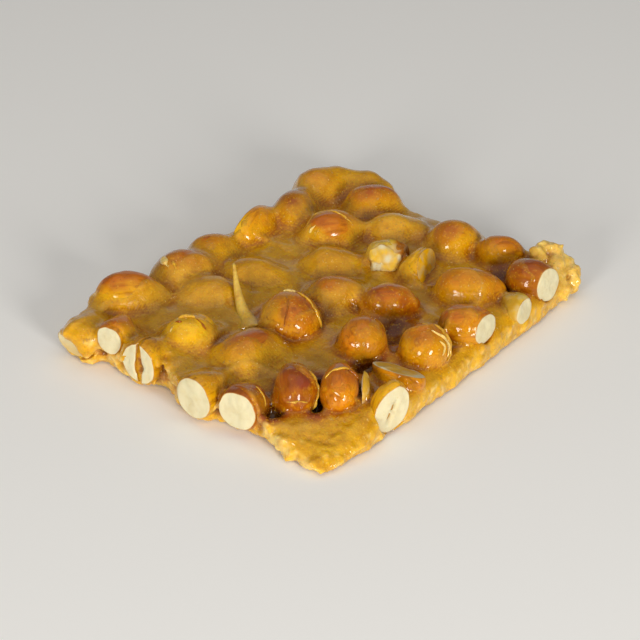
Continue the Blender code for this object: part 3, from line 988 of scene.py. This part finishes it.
def add_ribbon(bm, kernel, ribbon, seed):
    """A ragged pale edge of skin or film, curling up from the kernel along a path."""
    aims = np.array([direction(yaw, pitch) for yaw, pitch in ribbon.path])
    at = np.linspace(0, len(aims) - 1, RIBBON_STEPS)
    aims = np.stack([np.interp(at, np.arange(len(aims)), aims[:, i]) for i in range(3)], axis=-1)
    for _ in range(3):
        aims[1:-1] = (aims[:-2] + 2 * aims[1:-1] + aims[2:]) / 4
    half = halves_of(kernel)
    unit = (aims @ turn_of(kernel)) / half
    unit /= length(unit)[:, None]
    taper = 1 - EGG * unit[:, :1]
    local = unit * half * np.concatenate([np.ones_like(taper), taper, taper], axis=-1)
    out = unit / half
    out /= length(out)[:, None]
    local = local + out * (0.14 + max(LOOKS[kernel.name].film, 0))
    places = local @ turn_of(kernel).T + centre_of(kernel)
    out = out @ turn_of(kernel).T
    along = np.gradient(places, axis=0)
    along /= length(along)[:, None]
    across = np.cross(along, out)
    rag = 1.4 * noise(places, 1.1, seed)
    places = places + 0.35 * across * noise(places, 2.2, seed + 2)[:, None]
    fade = np.sin(np.linspace(0.08, math.pi - 0.08, RIBBON_STEPS)) ** 0.5
    width = ribbon.width / 2 * fade * np.maximum(0.25, 1 + 0.8 * rag)
    height = 0.8 * ribbon.height * fade * (1 + 0.6 * noise(places, 0.9, seed + 1))
    rings = []
    for index in range(RIBBON_STEPS):
        ring = []
        for turn in np.linspace(0, 2 * math.pi, RIBBON_SIDES, endpoint=False):
            lean = 0.5 * rag[index] * math.sin(turn)
            place = places[index] + across[index] * (width[index] * math.cos(turn) + lean * width[index])
            ring.append(bm.verts.new(Vector(place + out[index] * height[index] * math.sin(turn))))
        rings.append(ring)
    for before, after in zip(rings, rings[1:]):
        for side in range(RIBBON_SIDES):
            other = (side + 1) % RIBBON_SIDES
            bm.faces.new((before[side], before[other], after[other], after[side]))
    bm.faces.new(rings[0][::-1])
    bm.faces.new(rings[-1])
    return [vert for ring in rings for vert in ring]


SPIKE_RINGS, SPIKE_SIDES = 40, 16


def spike_mesh():
    """The spike of toffee as points and four-sided faces."""
    foot, tip = np.array(SPIKE_FOOT), np.array(SPIKE_TIP)
    rise = np.linspace(0, 1, SPIKE_RINGS)[:, None]
    bow = np.array(SPIKE_BOW) * np.sin(math.pi * rise)
    spine = foot + (tip - foot) * rise + bow
    radius = SPIKE_RADII[1] + 1.5 * (1 - rise) + (SPIKE_RADII[0] - 1.5) * (1 - rise) ** 5
    along = (tip - foot) / np.linalg.norm(tip - foot)
    across = np.cross(along, [0, 0, 1.0])
    across /= np.linalg.norm(across)
    over = np.cross(across, along)
    turns = np.linspace(0, 2 * math.pi, SPIKE_SIDES, endpoint=False)
    rings = [
        spine + radius * (across * math.cos(turn) * 1.1 + over * math.sin(turn) * 0.8) for turn in turns
    ]
    points = np.stack(rings, axis=1).reshape(-1, 3)
    points += 0.14 * noise(points, 1.6, 71)[:, None] * over
    faces = []
    for step in range(SPIKE_RINGS - 1):
        here, above = step * SPIKE_SIDES, (step + 1) * SPIKE_SIDES
        for side in range(SPIKE_SIDES):
            other = (side + 1) % SPIKE_SIDES
            faces.append((here + side, here + other, above + other, above + side))
    last = (SPIKE_RINGS - 1) * SPIKE_SIDES
    for side in range(SPIKE_SIDES // 2 - 1):
        facing = SPIKE_SIDES - 1 - side
        faces.append((last + side, last + side + 1, last + facing - 1, last + facing))
        faces.append((facing, facing - 1, side + 1, side))
    return points, np.array(faces)


CAP_RINGS = (0.965, 0.93, 0.86, 0.77, 0.67, 0.56, 0.45, 0.34, 0.23, 0.12)
RUGGED = 4.0  # how many times rougher the one crushed half is broken
SLIT_LEAN = 0.5  # how far the slit in the upright kernel's face leans, in radians


def keep_behind(bm, point, normal):
    """Cuts off what lies beyond a plane, and leaves the section open."""
    geometry = bm.verts[:] + bm.edges[:] + bm.faces[:]
    bmesh.ops.bisect_plane(
        bm, geom=geometry, plane_co=Vector(point), plane_no=Vector(normal), clear_outer=True
    )


def cap_section(bm, kernel, point, normal, seed, slit):
    """Cuts the kernel at a plane and closes it with a face of broken flesh, ring by ring."""
    keep_behind(bm, point, normal)
    straight = [edge for edge in bm.edges if edge.is_boundary and edge.calc_length() > 1.5]
    if straight:
        made = bmesh.ops.subdivide_edges(bm, edges=straight, cuts=15)["geom_inner"]
        inner = [item for item in made if isinstance(item, bmesh.types.BMVert)]
        heart = sum((vert.co for vert in bm.verts), Vector()) / len(bm.verts)
        middle = sum((vert.co for vert in inner), Vector()) / len(inner)
        inward = heart - middle
        facing = Vector(normal)
        inward = (inward - facing * inward.dot(facing)).normalized()
        for vert in inner:
            place = np.array(vert.co)
            ragged = float(noise(place[None], 1.5, seed + 3)[0])
            bow = 1 - ((vert.co - middle).length / 4.0) ** 2
            vert.co += inward * max(0.1, 0.9 * max(0.0, bow) + 0.6 * ragged)
    rim = [edge for edge in bm.edges if edge.is_boundary]
    start = rim[0].verts[0]
    loop, seen, here = [start], {start}, start
    while True:
        step = [edge.other_vert(here) for edge in here.link_edges if edge.is_boundary]
        step = [vert for vert in step if vert not in seen]
        if not step:
            break
        here = step[0]
        loop.append(here)
        seen.add(here)
    ring = np.array([vert.co for vert in loop])
    middle = ring.mean(axis=0)
    normal = np.asarray(normal)
    side = np.cross(normal, [0, 0, 1.0])
    side /= np.linalg.norm(side)
    up = np.cross(side, normal)
    previous = loop
    cream = []
    rugged = RUGGED if kernel.name == "half_broken" else 1.0
    for share in CAP_RINGS:
        places = middle + (ring - middle) * share
        wave = 0.22 * noise(places, 2.4, seed) + 0.10 * noise(places, 0.9, seed + 1)
        crown = (0.4 * (rugged - 1) + 0.25) * (1 - share) ** 0.5
        lift = crown + rugged * wave * min(1.0, (1 - share) * 9)
        if slit:
            across = (places - middle) @ (side * math.cos(slit) + up * math.sin(slit))
            lengthwise = (places - middle) @ (up * math.cos(slit) - side * math.sin(slit))
            lift -= 1.1 * np.exp(-(across / 0.45) ** 2) * smoothstep(3.2, 1.6, np.abs(lengthwise))
        places = places + normal * lift[:, None]
        current = [bm.verts.new(Vector(place)) for place in places]
        cream.extend(current)
        for index, vert in enumerate(current):
            after = (index + 1) % len(current)
            face = bm.faces.new((previous[index], previous[after], current[after], vert))
            face.material_index = 1
        previous = current
    tip = bm.verts.new(Vector(middle + normal * 0.25))
    cream.append(tip)
    for index, vert in enumerate(previous):
        face = bm.faces.new((vert, previous[(index + 1) % len(previous)], tip))
        face.material_index = 1
    bmesh.ops.recalc_face_normals(bm, faces=bm.faces)
    return loop, cream


def flesh_colours(kernel, points):
    """The colour of a kernel's broken face: cream, or stained where the toffee has run over it."""
    look = LOOKS[kernel.name]
    count = (len(points), 1)
    if not look.bare:
        return np.tile(linear(SKINS[look.skin]), count)
    cream = np.tile(linear(CREAM), count)
    if kernel.name == "half_edge":
        reach = to_local(kernel, points)[:, 0] / (kernel.length / 2)
        inside = smoothstep(-0.3, -0.7, kernel_distance(kernel, points))
        return wash(cream, STAINED, inside * smoothstep(0.66, 0.5, reach))
    if kernel.name == "half_broken":
        patchy = noise(points, 2.0, 95)
        return blend(np.tile(linear(SKINS["bald"]), count), cream, smoothstep(0.0, 0.6, patchy))
    if kernel.name == "cut_corner":
        return wash(cream, STAINED, 0.6 * smoothstep(6.5, 1.5, points[:, 2]))
    return cream


def finish_kernel(name, bm, kernel, materials, cuts, seed):
    """Stores colours on the kernel's points and makes it a piece that stands for its CAD node."""
    own = RIBBONS.get(kernel.name, [])
    edges = [add_ribbon(bm, kernel, ribbon, seed + 11 + place) for place, ribbon in enumerate(own)]
    bm.verts.index_update()
    edges = [[vert.index for vert in edge] for edge in edges]
    loops = [[vert.index for vert in loop] for loop, _ in cuts]
    creams = [[vert.index for vert in cream] for _, cream in cuts]
    points = np.array([vert.co for vert in bm.verts])
    bmesh.ops.scale(bm, verts=bm.verts, vec=(MM, MM, MM))
    mesh = bpy.data.meshes.new(name)
    bm.to_mesh(mesh)
    bm.free()
    for material in materials:
        mesh.materials.append(material)
    mesh.shade_smooth()
    colours = skin_colours(kernel, points)
    colours = crease_shade(colours, sample_grid(share, points))
    for loop, cream in zip(loops, creams):
        colours[cream] = flesh_colours(kernel, points[cream])
        colours[loop] = linear(RIM_SKIN)
    for edge, ribbon in zip(edges, own):
        colours[edge] = linear(ribbon.colour)
    paint(mesh, colours)
    store(mesh, "along", "FLOAT_VECTOR", "vector", to_local(kernel, points))
    obj = new_object(name, mesh)
    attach(obj, "root")
    return obj


def make_kernel(kernel, materials, seed):
    bm = kernel_bmesh(kernel, seed)
    cuts = []
    if kernel.cut:
        normal = direction(kernel.cut.yaw, kernel.cut.pitch)
        point = centre_of(kernel) + normal * kernel.cut.off
        slit = SLIT_LEAN if kernel.name == "cut_upright" else 0.0
        cuts.append(cap_section(bm, kernel, point, normal, seed + 9, slit))
    if LOOKS[kernel.name].skin == "bald":
        materials = (materials[1], materials[1])
    obj = finish_kernel("kernel_" + kernel.name, bm, kernel, materials, cuts, seed)
    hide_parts("nut_" + kernel.name)


def make_split(materials, seed):
    across = direction(SPLIT.yaw + 90, 0)
    for label, side in (("a", 1), ("b", -1)):
        bm = kernel_bmesh(SPLIT, seed)
        normal = direction(SPLIT.cut.yaw, SPLIT.cut.pitch)
        centre = centre_of(SPLIT)
        keep_behind(bm, centre + across * side * SPLIT_GAP / 2, -across * side)
        inner = [vert for vert in bm.verts if vert.is_boundary]
        bmesh.ops.contextual_create(bm, geom=[edge for edge in bm.edges if edge.is_boundary])
        for vert in inner:
            place = np.array(vert.co)
            bend = 0.5 * math.cos(0.55 * (place[2] - centre[2]) + side * 0.6) + 0.3
            shift = max(0.0, bend + 0.5 * float(noise(place[None], 1.6, seed + 5)[0]))
            vert.co += Vector(across * side * shift)
        cuts = [cap_section(bm, SPLIT, centre + normal * SPLIT.cut.off, normal, seed + 9, 0.0)]
        obj = finish_kernel(f"kernel_{SPLIT.name}_{label}", bm, SPLIT, materials, cuts, seed)
        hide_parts(f"nut_{SPLIT.name}_{label}")


BASE_TILE = 20.0  # the underside is first joined in squares of this size
BASE_FLATNESS = 0.05  # faces that lie lower than this are part of the underside


def underside(bm):
    return [face for face in bm.faces if max(vert.co.z for vert in face.verts) < BASE_FLATNESS * MM]


def flatten_base(mesh):
    """Joins the many small faces of the flat underside into a few large ones."""
    bm = bmesh.new()
    bm.from_mesh(mesh)
    under = underside(bm)
    tiles = {}
    for face in under:
        middle = face.calc_center_median() / (BASE_TILE * MM)
        tiles.setdefault((int(middle.x), int(middle.y)), []).append(face)
    for faces in tiles.values():
        bmesh.ops.dissolve_faces(bm, faces=faces, use_verts=True)
    under = underside(bm)
    edges = list({edge for face in under for edge in face.edges})
    verts = list({vert for face in under for vert in face.verts})
    bmesh.ops.dissolve_limit(bm, angle_limit=math.radians(1), verts=verts, edges=edges)
    bm.to_mesh(mesh)
    bm.free()


def make_slab(material, field, share):
    points, quads = largest_part(*surface_net(field, GRID_LOW, GRID_STEP))
    colours, rough = toffee_colours(points, sample_grid(share, points))
    spike_points, spike_quads = spike_mesh()
    height = smoothstep(6.5, 8.5, spike_points[:, 2])
    base, _ = toffee_colours(spike_points, np.zeros(len(spike_points)))
    colours = np.concatenate([colours, wash(base, SPIKE, height)])
    rough = np.concatenate([rough, np.full(len(spike_points), 0.3)])
    quads = np.concatenate([quads, spike_quads + len(points)])
    mesh = bpy.data.meshes.new("toffee")
    mesh.from_pydata((np.concatenate([points, spike_points]) * MM).tolist(), [], quads.tolist())
    mesh.update()
    mesh.materials.append(material)
    mesh.shade_smooth()
    paint(mesh, colours)
    store(mesh, "rough", "FLOAT", "value", rough)
    flatten_base(mesh)
    obj = new_object("toffee", mesh)
    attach(obj, "root")
    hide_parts("toffee_slab")


# ---------------------------------------------------------------------------------------------
# Camera, light and floor

CAMERA_AZIMUTH, CAMERA_ELEVATION = -50.14, 32.37
CAMERA_DISTANCE = 480.0
CAMERA_LENS = 116.1
LIGHT_COLOUR = (1.0, 0.97, 0.91)
LIGHT_TARGET = (0, 0, 0.006)


def add_light(name, place, size, power):
    """A round soft light that faces the middle of the piece."""
    light = bpy.data.lights.new(name, "AREA")
    light.shape = "DISK"
    light.size = size
    light.energy = power
    light.color = LIGHT_COLOUR
    obj = new_object(name, light)
    obj.location = place
    obj.rotation_euler = (place - Vector(LIGHT_TARGET)).to_track_quat("Z", "Y").to_euler()


def around(azimuth, elevation, distance):
    a, e = math.radians(azimuth), math.radians(elevation)
    return Vector((math.sin(a) * math.cos(e), -math.cos(a) * math.cos(e), math.sin(e))) * distance


def set_stage():
    scene = bpy.context.scene
    scene.view_settings.view_transform = "Standard"
    world = bpy.data.worlds.new("studio")
    world.use_nodes = True
    set_inputs(world.node_tree.nodes["Background"], Color=(1.0, 0.975, 0.93, 1.0), Strength=0.22)
    scene.world = world

    bm = bmesh.new()
    bmesh.ops.create_grid(bm, x_segments=2, y_segments=2, size=3.0)
    mesh = bpy.data.meshes.new("floor")
    bm.to_mesh(mesh)
    bm.free()
    floor = new_object("floor", mesh)
    floor.location = (0, 0, -0.0004)
    made, _, shader = new_material("floor")
    set_inputs(shader, Base_Color=(0.93, 0.93, 0.93, 1.0), Roughness=0.7)
    mesh.materials.append(made)

    add_light("backdrop", around(130, 12, 1.4), 1.0, 0.9)
    add_light("overhead", around(-50, 82, 1.2), 2.0, 4.9)
    add_light("key_left", around(-78, 15, 0.9), 0.27, 3.7)
    add_light("key_right", around(-22, 15, 0.9), 0.27, 5.2)

    lens = bpy.data.cameras.new("camera")
    lens.lens = CAMERA_LENS
    lens.sensor_width = 36.0
    lens.clip_start = 0.01
    camera = new_object("camera", lens)
    back = around(CAMERA_AZIMUTH, CAMERA_ELEVATION, 1.0)
    right = Vector((-back.y, back.x, 0)).normalized()
    up = back.cross(right)
    aim = Vector((0, -1, 0)) - right * 2.2 + up * 0.4
    camera.location = (aim + back * CAMERA_DISTANCE) * MM
    camera.rotation_euler = back.to_track_quat("Z", "Y").to_euler()
    scene.camera = camera


toffee = make_toffee()
skin = make_skin()
flesh = make_flesh()
grid = grid_points()
field = toffee_field(grid)
share = solid_share(np.minimum(field, kernel_union(grid)), CREASE_REACH)
make_slab(toffee, field, share)
for number, kernel in enumerate(KERNELS):
    make_kernel(kernel, (skin, flesh), 100 + 20 * number)
make_split((skin, flesh), 90)
set_stage()
